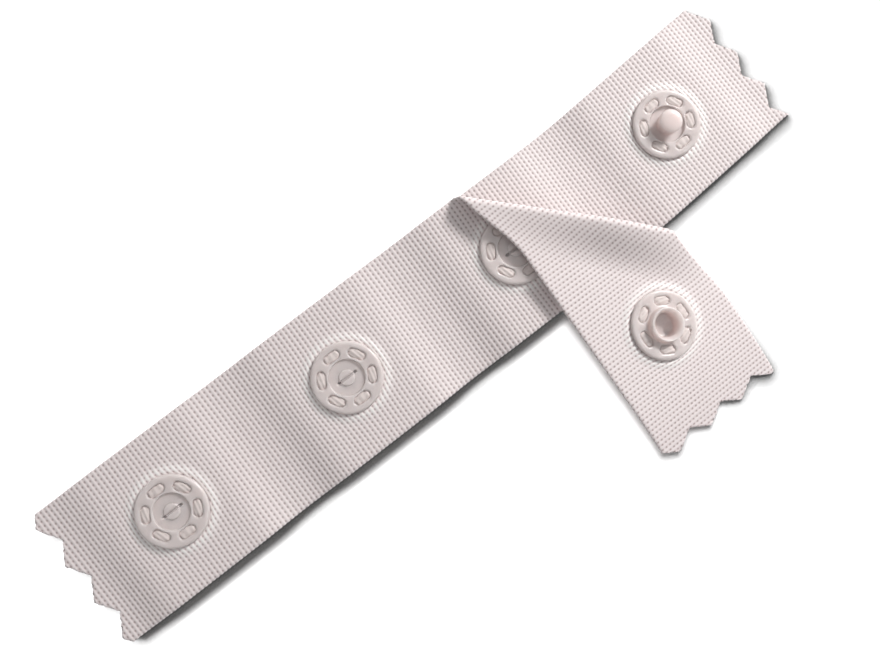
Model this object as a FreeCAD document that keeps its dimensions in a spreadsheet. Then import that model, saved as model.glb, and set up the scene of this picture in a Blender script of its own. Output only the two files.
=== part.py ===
"""Snap tape: two woven tapes pressed together by four plastic snaps, one of them peeled back.

The table is z = 0 and +Z is up. It is laid out with X along the snapped strip from its pinked end and
the strip's centre line at y = 0, then moved so that the origin is under the middle of the whole
outline. The upper tape folds over on a 45 degree line just past the third snap and its free end lies
toward -Y. Each snap is moulded through its tape, so its own frame has z = 0 at the tape's mid plane
and +Z on the side that meets the other tape.
"""
import FreeCAD, Part
import Sketcher
import math
import os

Vector = FreeCAD.Vector

# driving sizes, millimetres and degrees
SIZES = [
    ("tape_width", 18.8, "width over the selvedges, 3/4 inch tape"),
    ("tape_thickness", 0.45, "plain weave with strong cross ribs"),
    ("snap_pitch", 25.4, "snap to snap along the tape, 1 inch"),
    ("flange_radius", 4.345, "moulded flange, both faces of the tape"),
    ("flange_thickness", 0.64, "each flange"),
    ("flange_seat", 0.235, "flange face to the tape's mid plane"),
    ("rim_bevel", 0.2, "softened outer edge of each flange"),
    ("hub_radius", 2.3, "plastic moulded through the tape"),
    ("slot_circle", 3.0, "radius of the ring of slots"),
    ("slot_length", 2.1, "round end to round end"),
    ("slot_width", 1.05, "each of the six slots"),
    ("back_recess_radius", 2.2, "shallow dish on the back"),
    ("back_recess_depth", 0.3, "depth of the dish"),
    ("pip_radius", 0.95, "raised round in the dish"),
    ("pip_height", 0.2, "height above the dish floor"),
    ("slit_length", 2.8, "gate line across the pip"),
    ("slit_width", 0.28, "gate line"),
    ("slit_depth", 0.12, "below the dish floor"),
    ("moat_radius", 2.3, "ring recess around the stud's post"),
    ("moat_depth", 0.45, "depth of that recess"),
    ("post_radius", 1.25, "neck of the post"),
    ("head_radius", 1.45, "bulb at the top of the post"),
    ("neck_height", 1.75, "start of the bulb's lower cone"),
    ("head_low", 2.0, "lower end of the bulb's straight part"),
    ("head_high", 2.2, "upper end of the bulb's straight part"),
    ("post_height", 2.525, "top of the post"),
    ("post_crown", 1.0, "flat radius at the top before rounding"),
    ("boss_radius", 2.12, "socket's raised ring"),
    ("boss_height", 1.875, "end of the raised ring"),
    ("hole_radius", 1.525, "socket hole"),
    ("hole_floor", -0.25, "floor of the socket hole"),
    ("lead_radius", 1.85, "mouth of the lead-in cone"),
    ("lead_height", 1.45, "inner end of the lead-in cone"),
    ("lower_mid", 0.875, "mid plane of the lower tape at the studs"),
    ("upper_mid", 3.325, "mid plane of the upper tape at the sockets"),
    ("lower_sag", 0.63, "how far the lower tape drops between studs"),
    ("upper_sag", 1.05, "how far the upper tape drops between sockets"),
    ("flat_margin", 0.75, "flat tape beyond each flange before the wave"),
    ("free_bend", 4.0, "sideways bend of the lower tape's free end, degrees"),
    ("fold_radius", 0.6, "mid plane radius of the fold"),
    ("fold_rise", 1.2, "extra height of the fold, which springs open"),
    ("fold_gap", 0.08, "flat tape between the third snap and the fold"),
    ("fold_drop", 1.3, "how far the fold's free end hangs below the strip"),
    ("drop_start", 4.8, "past the third snap, along the fold, where that begins"),
    ("flap_x", 72.4, "free socket's centre"),
    ("flap_y", -18.4, "free socket's centre"),
    ("flap_z", 3.0, "free socket's centre"),
    ("flap_fall_x", 0.15, "fall of the free end toward +X"),
    ("flap_fall_y", 0.045, "fall of the free end toward -Y"),
    ("flap_droop", 0.009, "extra droop past the free socket"),
    ("flap_skew", 0.022, "turn of the free end toward -X, as a slope"),
    ("droop_start", 0.4, "past the free socket's flange, where its tape starts to droop"),
    ("blend_stop", 0.8, "short of the free socket's flange, where its tape lies flat"),
    ("fold_apron", 0.6, "either side of the fold's arc, rows still parallel to the fold"),
    ("tooth_pitch", 5.35, "pinked edge"),
    ("tooth_depth", 1.65, "pinked edge"),
    ("near_tooth", 2.9, "one tooth tip from the centre line, near ends"),
    ("far_tooth", 1.0, "one tooth tip from the centre line, far end of the lower tape"),
    ("free_tooth", -1.9, "one tooth tip from the centre line, free end of the upper tape"),
    ("end_margin", 12.1, "last snap to the notches of the pinked end"),
    ("end_spare", 2.0, "tape made past each end, then cut away"),
    ("row_step", 1.9, "spacing of the tape's grid rows"),
    ("turn_step", 2.0, "the same where the rows turn toward the fold"),
    ("fold_step", 0.5, "the same around the fold"),
]

doc = FreeCAD.newDocument("SnapTape")
sheet = doc.addObject("Spreadsheet::Sheet", "Sizes")
for row, (alias, number, note) in enumerate(SIZES, start=1):
    sheet.set("A%d" % row, alias)
    sheet.set("B%d" % row, repr(number))
    sheet.set("C%d" % row, note)
    sheet.setAlias("B%d" % row, alias)
doc.recompute()


def size(alias):
    """Returns one driving size from the sheet."""
    return float(getattr(sheet, alias))


def smooth(value):
    """Rises from 0 to 1 with no step in slope or bend at either end."""
    value = min(1.0, max(0.0, value))
    return value ** 3 * (10.0 - 15.0 * value + 6.0 * value ** 2)


WIDTH = size("tape_width")
PITCH = size("snap_pitch")
HALF = WIDTH / 2.0
DIAGONAL = math.sqrt(0.5)
SNAP_X = [PITCH * (index + 0.5) for index in range(4)]
FLAT = size("flange_radius") + size("flat_margin")
FOLD_X = SNAP_X[2] + (size("flange_radius") + size("fold_gap")) / DIAGONAL
FOLD_ARC = math.pi * size("fold_radius")

# the free end of the upper tape is a tilted plane with its own three directions
FLAP_UP = Vector(size("flap_fall_x"), -size("flap_fall_y"), 1.0).normalize()
FLAP_ALONG = Vector(-size("flap_skew"), -1.0, 0.0)
FLAP_ALONG = (FLAP_ALONG - FLAP_UP * FLAP_ALONG.dot(FLAP_UP)).normalize()
FLAP_ACROSS = FLAP_UP.cross(FLAP_ALONG)
FLAP_CENTRE = Vector(size("flap_x"), size("flap_y"), size("flap_z"))


def wave(place, mid, sag):
    """Height of a snapped tape: flat at every snap, dropping between them."""
    offset = abs((place / PITCH) % 1.0 - 0.5) * PITCH
    return mid - sag * smooth((offset - FLAT) / (PITCH / 2.0 - FLAT))


def lower_point(along, across):
    """Mid plane of the lower tape. Its free end bends sideways past the third snap."""
    start = SNAP_X[2] + FLAT
    stop = SNAP_X[3] - FLAT
    turn = math.radians(size("free_bend"))
    length = stop - start
    height = wave(along, size("lower_mid"), size("lower_sag"))
    if along <= start:
        return Vector(along, across, height)
    run = min(along, stop) - start
    angle = turn * run / length
    radius = length / turn
    centre = Vector(start + radius * math.sin(angle), radius * (1.0 - math.cos(angle)), height)
    if along > stop:
        centre += Vector(math.cos(angle), math.sin(angle), 0.0) * (along - stop)
    return centre + Vector(-math.sin(angle), math.cos(angle), 0.0) * across


def flap_point(along, across):
    """Mid plane of the flat free end; along and across are counted from the free socket."""
    past = max(0.0, along - size("flange_radius") - size("droop_start"))
    point = FLAP_CENTRE + FLAP_ALONG * along + FLAP_ACROSS * across
    return point - FLAP_UP * size("flap_droop") * past ** 2


def upper_point(along, across):
    """Mid plane of the upper tape: strip, 45 degree fold, then the free end."""
    past = (along - FOLD_X + across) * DIAGONAL
    beside = (along - FOLD_X - across) * DIAGONAL
    hanging = (beside - size("drop_start")) / (WIDTH * DIAGONAL - size("drop_start"))
    drop = size("fold_drop") * max(0.0, hanging) ** 2
    height = size("upper_mid") - drop
    if along < SNAP_X[2]:
        height = wave(along, size("upper_mid"), size("upper_sag")) - drop
    if past <= 0.0:
        return Vector(along, across, height)
    bend = min(past, FOLD_ARC) / size("fold_radius")
    reach = size("fold_radius") * math.sin(bend) - max(0.0, past - FOLD_ARC)
    lift = size("fold_radius") * (1.0 - math.cos(bend)) + size("fold_rise") * smooth(past / FOLD_ARC)
    folded = Vector(
        FOLD_X + (beside + reach) * DIAGONAL,
        (reach - beside) * DIAGONAL,
        height + lift,
    )
    free = flap_point(along - SNAP_X[3], -across)
    reached = (SNAP_X[3] - FOLD_X) * DIAGONAL - size("flange_radius") - size("blend_stop")
    blend = smooth((past - FOLD_ARC) / (reached - FOLD_ARC))
    return folded * (1.0 - blend) + free * blend


def normal_at(surface, along, across):
    """Unit normal of a tape's mid plane, by central differences."""
    step = 0.01
    run = surface(along + step, across) - surface(along - step, across)
    rise = surface(along, across + step) - surface(along, across - step)
    return run.cross(rise).normalize()


def stations(start, stop, spacing):
    """Evenly spread places from start to stop, both included."""
    count = max(1, int(round((stop - start) / spacing)))
    return [start + (stop - start) * index / count for index in range(count + 1)]


def spline_faces(grid, cross_degree, joints):
    """Faces whose control net is the grid: cubic along the rows, so flat where the net is flat.

    joints are rows of the net at which one face ends and the next starts.
    """
    degrees = (3, cross_degree)
    counts = (len(grid), len(grid[0]))
    knots = []
    mults = []
    for degree, count in zip(degrees, counts):
        spans = count - degree
        knots.append([float(place) for place in range(spans + 1)])
        mults.append([degree + 1] + [1] * (spans - 1) + [degree + 1])
    borders = [knots[0][0]] + [float(row - 1) for row in joints] + [knots[0][-1]]
    faces = []
    for low, high in zip(borders, borders[1:]):
        face = Part.BSplineSurface()
        face.buildFromPolesMultsKnots(
            grid, mults[0], mults[1], knots[0], knots[1], False, False, degrees[0], degrees[1])
        face.segment(low, high, knots[1][0], knots[1][-1])
        faces.append(face.toShape())
    return faces


def sheet_solid(surface, rows, joints):
    """Closed tape between two skins half a thickness either side of the mid plane."""
    half = size("tape_thickness") / 2.0
    skins = []
    for side in (half, -half):
        grid = []
        for row in rows:
            line = [surface(along, across) + normal_at(surface, along, across) * side for along, across in row]
            grid.append(line)
        skins.append(grid)
    faces = []
    for grid in skins:
        faces += spline_faces(grid, 3, joints)
    for edge in (0, -1):
        long_side = [[skins[0][index][edge], skins[1][index][edge]] for index in range(len(rows))]
        faces += spline_faces(long_side, 1, joints)
        short_side = [[top, bottom] for top, bottom in zip(skins[0][edge], skins[1][edge])]
        faces += spline_faces(short_side, 1, [])
    shell = Part.makeShell(faces)
    shell.sewShape()
    solid = Part.makeSolid(shell)
    if solid.Volume < 0:
        solid.reverse()
    return solid


def pinking_tool(placement, tips, reach):
    """Everything past a zigzag line. Local +X points off the tape and y runs across it."""
    depth = size("tooth_depth")
    pitch = size("tooth_pitch")
    points = []
    for index in range(-4, 5):
        points.append(Vector(depth, tips + index * pitch, -reach))
        points.append(Vector(0.0, tips + (index + 0.5) * pitch, -reach))
    points.append(Vector(size("end_margin"), points[-1].y, -reach))
    points.append(Vector(size("end_margin"), points[0].y, -reach))
    wire = Part.makePolygon(points + [points[0]])
    tool = Part.Face(wire).extrude(Vector(0.0, 0.0, 2.0 * reach))
    tool.Placement = placement
    return tool


def frame(origin, x_axis, z_axis):
    """Placement with the given origin, local X and local Z."""
    y_axis = z_axis.cross(x_axis)
    matrix = FreeCAD.Matrix(
        x_axis.x, y_axis.x, z_axis.x, origin.x,
        x_axis.y, y_axis.y, z_axis.y, origin.y,
        x_axis.z, y_axis.z, z_axis.z, origin.z,
        0.0, 0.0, 0.0, 1.0,
    )
    return FreeCAD.Placement(matrix)


BEND = math.radians(size("free_bend"))
TURNED = Vector(math.cos(BEND), math.sin(BEND), 0.0)
UP = Vector(0.0, 0.0, 1.0)
ALONG = Vector(1.0, 0.0, 0.0)
STUD_PLACES = [frame(lower_point(place, 0.0), ALONG, UP) for place in SNAP_X[:3]]
STUD_PLACES.append(frame(lower_point(SNAP_X[3], 0.0), TURNED, UP))
SOCKET_PLACES = [frame(upper_point(place, 0.0), ALONG, UP * -1.0) for place in SNAP_X[:3]]
SOCKET_PLACES.append(frame(FLAP_CENTRE, FLAP_ALONG, FLAP_UP))


def hole_tools(places):
    """Cylinders for the holes that the moulded hubs fill."""
    tools = []
    for place in places:
        thick = size("tape_thickness")
        tool = Part.makeCylinder(size("hub_radius"), 2.0 * thick, Vector(0.0, 0.0, -thick), UP)
        tool.Placement = place
        tools.append(tool)
    return tools


def add_tape(label, surface, rows, joints, tools):
    """Adds one tape, cut by its pinked ends and its snap holes, as its own object."""
    shape = sheet_solid(surface, rows, joints)
    for tool in tools:
        shape = shape.cut(tool)
    if shape.ShapeType != "Solid" and len(shape.Solids) == 1:
        shape = shape.Solids[0]
    feature = doc.addObject("Part::Feature", label)
    feature.Label = label
    feature.Shape = shape
    return feature


def upper_rows():
    """Grid rows, square to the tape at its ends and parallel to the 45 degree line at the fold.

    Also returns the rows at which the fold starts and ends.
    """
    across = stations(-HALF, HALF, WIDTH / 5.0)
    spare = size("end_spare")
    turn_start = SNAP_X[1] + size("flange_radius")
    turned = SNAP_X[2] - size("hub_radius")
    fold_start = FOLD_X - size("fold_apron")
    back_start = FOLD_X + FOLD_ARC / DIAGONAL + size("fold_apron")
    square_stop = PITCH * 4.0
    unturned = back_start + PITCH / 8.0
    rows = []
    for place in stations(-spare, turn_start, size("row_step")):
        rows.append([(place, side) for side in across])
    for place in stations(turn_start, fold_start, size("turn_step"))[1:]:
        slant = smooth((place - turn_start) / (turned - turn_start))
        rows.append([(place - slant * side, side) for side in across])
    first = len(rows)
    for place in stations(fold_start, back_start, size("fold_step"))[1:]:
        rows.append([(place - side, side) for side in across])
    last = len(rows) - 1
    for place in stations(back_start, square_stop + spare, size("row_step"))[1:]:
        slant = 1.0 - smooth((place - unturned) / (square_stop - unturned))
        rows.append([(place - slant * side, side) for side in across])
    return rows, [first, last]


near_end = frame(Vector(PITCH / 2.0 - size("end_margin"), 0.0, 2.0), ALONG * -1.0, UP)
far_end = frame(lower_point(SNAP_X[3] + size("end_margin"), 0.0), TURNED, UP)
free_end = frame(FLAP_CENTRE + FLAP_ALONG * size("end_margin"), FLAP_ALONG, FLAP_UP)

lower_rows = []
for station in stations(-size("end_spare"), PITCH * 4.0 + size("end_spare"), size("row_step")):
    lower_rows.append([(station, side) for side in stations(-HALF, HALF, WIDTH / 3.0)])

reach = size("upper_mid") + size("tape_thickness")
lower_tools = [
    pinking_tool(near_end, size("near_tooth"), reach),
    pinking_tool(far_end, size("far_tooth"), reach),
]
upper_tools = [
    pinking_tool(near_end, size("near_tooth"), reach),
    pinking_tool(free_end, size("free_tooth"), reach),
]
folded_rows, folded_joints = upper_rows()
tapes = [
    add_tape("stud_tape", lower_point, lower_rows, [], lower_tools + hole_tools(STUD_PLACES)),
    add_tape("socket_tape", upper_point, folded_rows, folded_joints, upper_tools + hole_tools(SOCKET_PLACES)),
]

# the origin is under the middle of the two tapes' outline
outline = FreeCAD.BoundBox()
for tape in tapes:
    outline.add(tape.Shape.optimalBoundingBox())
ORIGIN_SHIFT = FreeCAD.Placement(Vector(-outline.Center.x, -outline.Center.y, 0.0), FreeCAD.Rotation())
for tape in tapes:
    tape.Placement = ORIGIN_SHIFT


def origin_part(body, role):
    """Returns one of a body's own origin planes or axes."""
    for item in body.Origin.OriginFeatures:
        if item.Role == role:
            return item
    raise ValueError(role)


def attach(sketch, body, role):
    """Attaches a sketch to a plane of its body."""
    sketch.AttachmentSupport = [(origin_part(body, role), "")]
    sketch.MapMode = "FlatFace"


def closed_profile(sketch, corners):
    """Draws straight lines through corners, each held by two sizes bound to the sheet."""
    numbers = []
    for across, up in corners:
        numbers.append([sheet_value(across), sheet_value(up)])
    count = len(corners)
    for index in range(count):
        first = Vector(numbers[index][0], numbers[index][1], 0.0)
        second = numbers[(index + 1) % count]
        sketch.addGeometry(Part.LineSegment(first, Vector(second[0], second[1], 0.0)), False)
    for index in range(count):
        sketch.addConstraint(Sketcher.Constraint("Coincident", index, 2, (index + 1) % count, 1))
    for index in range(count):
        for axis, kind in enumerate(("DistanceX", "DistanceY")):
            number = sketch.addConstraint(Sketcher.Constraint(kind, -1, 1, index, 1, numbers[index][axis]))
            expression = corners[index][axis]
            if expression != "0":
                sketch.setExpression("Constraints[%d]" % number, expression)
    return sketch


def sheet_value(expression):
    """Number that an expression on the sheet gives now."""
    return float(sheet.evalExpression(expression.replace("Sizes.", "")))


def S(name):
    """Expression for one alias on the sheet."""
    return "Sizes." + name


BACK = "-%s - %s" % (S("flange_seat"), S("flange_thickness"))
FRONT = "%s + %s" % (S("flange_seat"), S("flange_thickness"))
DISH = "%s + %s" % (BACK, S("back_recess_depth"))
PIP = "%s - %s" % (DISH, S("pip_height"))
RIM = "%s - %s" % (S("flange_radius"), S("rim_bevel"))

# half section from the axis on the back to the rim on the front, the same for stud and socket
SHARED = [
    ("0", PIP),
    (S("pip_radius"), PIP),
    (S("pip_radius"), DISH),
    (S("back_recess_radius"), DISH),
    (S("back_recess_radius"), BACK),
    (RIM, BACK),
    (S("flange_radius"), "%s + %s" % (BACK, S("rim_bevel"))),
    (S("flange_radius"), "-" + S("flange_seat")),
    (S("hub_radius"), "-" + S("flange_seat")),
    (S("hub_radius"), S("flange_seat")),
    (S("flange_radius"), S("flange_seat")),
    (S("flange_radius"), "%s - %s" % (FRONT, S("rim_bevel"))),
    (RIM, FRONT),
]
STUD_PROFILE = SHARED + [
    (S("moat_radius"), FRONT),
    (S("moat_radius"), "%s - %s" % (FRONT, S("moat_depth"))),
    (S("post_radius"), "%s - %s" % (FRONT, S("moat_depth"))),
    (S("post_radius"), S("neck_height")),
    (S("head_radius"), S("head_low")),
    (S("head_radius"), S("head_high")),
    (S("post_crown"), S("post_height")),
    ("0", S("post_height")),
]
SOCKET_PROFILE = SHARED + [
    (S("boss_radius"), FRONT),
    (S("boss_radius"), S("boss_height")),
    (S("lead_radius"), S("boss_height")),
    (S("hole_radius"), S("lead_height")),
    (S("hole_radius"), S("hole_floor")),
    ("0", S("hole_floor")),
]


def add_snap(label, profile, placement):
    """Adds one moulded snap half: revolved section, ring of six slots and the gate line."""
    body = doc.addObject("PartDesign::Body", label)
    body.Label = label

    section = body.newObject("Sketcher::SketchObject", label + "_section")
    attach(section, body, "XZ_Plane")
    closed_profile(section, profile)
    turned = body.newObject("PartDesign::Revolution", label + "_turned")
    turned.Profile = section
    turned.ReferenceAxis = (section, ["V_Axis"])
    turned.Angle = 360.0
    section.Visibility = False
    doc.recompute()

    slot = body.newObject("Sketcher::SketchObject", label + "_slot")
    attach(slot, body, "XY_Plane")
    slot_outline(slot)
    opening = body.newObject("PartDesign::Pocket", label + "_opening")
    opening.Profile = slot
    opening.Type = 1
    opening.Midplane = True
    slot.Visibility = False
    doc.recompute()
    ring = body.newObject("PartDesign::PolarPattern", label + "_ring")
    ring.Originals = [opening]
    ring.Axis = (origin_part(body, "Z_Axis"), [""])
    ring.Angle = 360.0
    ring.Occurrences = 6
    body.Tip = ring
    doc.recompute()

    gate = body.newObject("Sketcher::SketchObject", label + "_gate")
    attach(gate, body, "XY_Plane")
    gate.setExpression("AttachmentOffset.Base.z", BACK)
    gate_outline(gate)
    slit = body.newObject("PartDesign::Pocket", label + "_slit")
    slit.Profile = gate
    slit.Type = 0
    slit.Reversed = True
    slit.setExpression("Length", "%s + %s" % (S("back_recess_depth"), S("slit_depth")))
    gate.Visibility = False
    body.Tip = slit
    doc.recompute()
    body.Placement = ORIGIN_SHIFT.multiply(placement)
    return body


def slot_outline(sketch):
    """Tangential slot with bevelled ends, centred on local +Y."""
    half_length = S("slot_length") + " / 2"
    straight = "(%s - %s) / 2" % (S("slot_length"), S("slot_width"))
    half_width = S("slot_width") + " / 2"
    low = "%s - %s" % (S("slot_circle"), half_width)
    high = "%s + %s" % (S("slot_circle"), half_width)
    closed_profile(sketch, [
        ("-" + straight, low),
        (straight, low),
        (half_length, S("slot_circle")),
        (straight, high),
        ("-" + straight, high),
        ("-" + half_length, S("slot_circle")),
    ])


def gate_outline(sketch):
    """Thin rectangle across the pip, along the tape."""
    half_length = S("slit_length") + " / 2"
    half_width = S("slit_width") + " / 2"
    corners = [
        ("-" + half_length, "-" + half_width),
        (half_length, "-" + half_width),
        (half_length, half_width),
        ("-" + half_length, half_width),
    ]
    closed_profile(sketch, corners)


for number in range(4):
    add_snap("stud_%d" % (number + 1), STUD_PROFILE, STUD_PLACES[number])
    add_snap("socket_%d" % (number + 1), SOCKET_PROFILE, SOCKET_PLACES[number])

doc.recompute()
kept = ["stud_tape", "socket_tape"]
kept += ["stud_%d" % number for number in range(1, 5)]
kept += ["socket_%d" % number for number in range(1, 5)]
for item in doc.Objects:
    if "Invalid" in item.State or "Error" in item.State:
        raise RuntimeError("%s failed: %s" % (item.Label, item.State))
os.makedirs("parts", exist_ok=True)
for label in kept:
    shape = doc.getObjectsByLabel(label)[0].Shape
    if shape.isNull() or not shape.isValid() or len(shape.Solids) != 1:
        raise RuntimeError("%s is not one valid solid" % label)
    shape.exportStep("parts/%s.step" % label)
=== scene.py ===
"""Snap tape: looks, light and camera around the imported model.

Two narrow woven tapes lie snapped together, and the upper one is folded back on
a diagonal, so that the last stud and the last socket lie open. Sizes in the
classes are in millimetres and degrees, and meshes are written in metres.
"""

import logging
import math
from dataclasses import dataclass, field
from enum import Enum
from typing import Any, Callable, Union

import bmesh
import bpy
import numpy as np
from mathutils import Matrix, Vector


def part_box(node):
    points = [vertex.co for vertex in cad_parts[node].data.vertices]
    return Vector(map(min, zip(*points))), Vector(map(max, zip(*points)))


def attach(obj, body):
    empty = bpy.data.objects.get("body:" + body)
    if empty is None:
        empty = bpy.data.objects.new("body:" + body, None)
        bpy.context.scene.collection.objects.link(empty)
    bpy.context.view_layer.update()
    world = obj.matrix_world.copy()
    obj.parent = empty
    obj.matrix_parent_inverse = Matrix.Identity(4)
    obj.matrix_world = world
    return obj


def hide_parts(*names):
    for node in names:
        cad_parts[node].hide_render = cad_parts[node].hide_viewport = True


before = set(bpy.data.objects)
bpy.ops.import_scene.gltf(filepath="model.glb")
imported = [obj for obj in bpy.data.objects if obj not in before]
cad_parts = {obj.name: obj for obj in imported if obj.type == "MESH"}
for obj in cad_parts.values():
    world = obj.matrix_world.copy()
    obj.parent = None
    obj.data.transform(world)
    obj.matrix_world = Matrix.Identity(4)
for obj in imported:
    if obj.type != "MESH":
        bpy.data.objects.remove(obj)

logging.basicConfig(level=logging.INFO, format="%(message)s")
log = logging.getLogger("snap_tape")

MM = 0.001
Array = np.ndarray


def linear(red: int, green: int, blue: int) -> tuple[float, float, float, float]:
    """Turns a screen colour into the shader's own linear colour.

    Args:
        red, green, blue: screen values from 0 to 255.

    Returns:
        Linear red, green and blue, and an alpha of 1.
    """
    parts = []
    for value in (red, green, blue):
        share = value / 255.0
        parts.append(share / 12.92 if share <= 0.04045 else ((share + 0.055) / 1.055) ** 2.4)
    return (parts[0], parts[1], parts[2], 1.0)


def smooth(value: Array) -> Array:
    """Quintic ease from 0 to 1: v cubed times (10 - 15 v + 6 v squared), held outside."""
    held = np.clip(value, 0.0, 1.0)
    return held**3 * (10.0 - 15.0 * held + 6.0 * held**2)


class Body(Enum):
    """The two rigid sides that the snaps join."""

    STUD_SIDE = "stud_side"
    SOCKET_SIDE = "socket_side"


class Slot(Enum):
    """Material slots of the record."""

    TAPE = "tape"
    SNAP = "snap"


class Front(Enum):
    """What a moulded snap carries on its front."""

    STUD = "stud"
    SOCKET = "socket"


# Shader graphs


class Wire:
    """One shader number. Python's operators on it add Math nodes."""

    def __init__(self, recipe: "Recipe", socket: bpy.types.NodeSocket) -> None:
        self.recipe = recipe
        self.socket = socket

    def math(self, operation: str, *others: Union["Wire", float]) -> "Wire":
        """Adds one Math node.

        Args:
            operation: Blender's name of the operation.
            others: the second and third values, where it has them.

        Returns:
            The node's result.
        """
        values = dict(enumerate((self, *others)))
        made = self.recipe.node("ShaderNodeMath", {"operation": operation}, values)
        return Wire(self.recipe, made.outputs[0])

    def __add__(self, other: Union["Wire", float]) -> "Wire":
        """This plus other."""
        return self.math("ADD", other)

    __radd__ = __add__

    def __sub__(self, other: Union["Wire", float]) -> "Wire":
        """This minus other."""
        return self.math("SUBTRACT", other)

    def __rsub__(self, other: float) -> "Wire":
        """Number minus this."""
        return self * -1.0 + other

    def __mul__(self, other: Union["Wire", float]) -> "Wire":
        """This times other."""
        return self.math("MULTIPLY", other)

    __rmul__ = __mul__

    def __abs__(self) -> "Wire":
        """Size without sign."""
        return self.math("ABSOLUTE")

    def floor(self) -> "Wire":
        """Whole number at or below."""
        return self.math("FLOOR")

    def clamped(self) -> "Wire":
        """Held between 0 and 1."""
        return self.math("MAXIMUM", 0.0).math("MINIMUM", 1.0)


class Recipe:
    """Node graph of one material, world or other shaded thing."""

    def __init__(self, tree: bpy.types.NodeTree) -> None:
        self.tree = tree
        tree.nodes.clear()

    def node(self, kind: str, settings: dict[str, Any], inputs: dict[Any, Any]) -> bpy.types.Node:
        """Adds any node.

        Args:
            kind: the node's Blender type.
            settings: its properties, which are set first.
            inputs: sockets by name or number, with a wire, a socket or a value.

        Returns:
            The new node.
        """
        made = self.tree.nodes.new(kind)
        for name, value in settings.items():
            setattr(made, name, value)
        for key, value in inputs.items():
            if isinstance(value, Wire):
                value = value.socket
            if isinstance(value, bpy.types.NodeSocket):
                self.tree.links.new(value, made.inputs[key])
            else:
                made.inputs[key].default_value = value
        return made

    def blend(self, share: Union[Wire, float], first: Any, second: Any) -> bpy.types.NodeSocket:
        """Mixes two colours and returns the mixed colour's socket."""
        made = self.node("ShaderNodeMix", {"data_type": "RGBA"}, {0: share, 6: first, 7: second})
        return made.outputs[2]

    def noise(self, vector: Any, scale: float, detail: float) -> Wire:
        """Noise from 0 to 1 at a vector."""
        made = self.node("ShaderNodeTexNoise", {}, {"Vector": vector, "Scale": scale, "Detail": detail})
        return Wire(self, made.outputs[0])

    def point(self, across: Any, along: Any, up: Any = 0.0) -> bpy.types.NodeSocket:
        """Puts three numbers together as a vector."""
        return self.node("ShaderNodeCombineXYZ", {}, {0: across, 1: along, 2: up}).outputs[0]

    def object_place(self) -> bpy.types.NodeSocket:
        """The piece's own Object coordinates."""
        return self.node("ShaderNodeTexCoord", {}, {}).outputs["Object"]

    def attribute(self, label: str) -> Wire:
        """One of the mesh's own values a vertex."""
        return Wire(self, self.node("ShaderNodeAttribute", {"attribute_name": label}, {}).outputs["Fac"])


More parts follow.
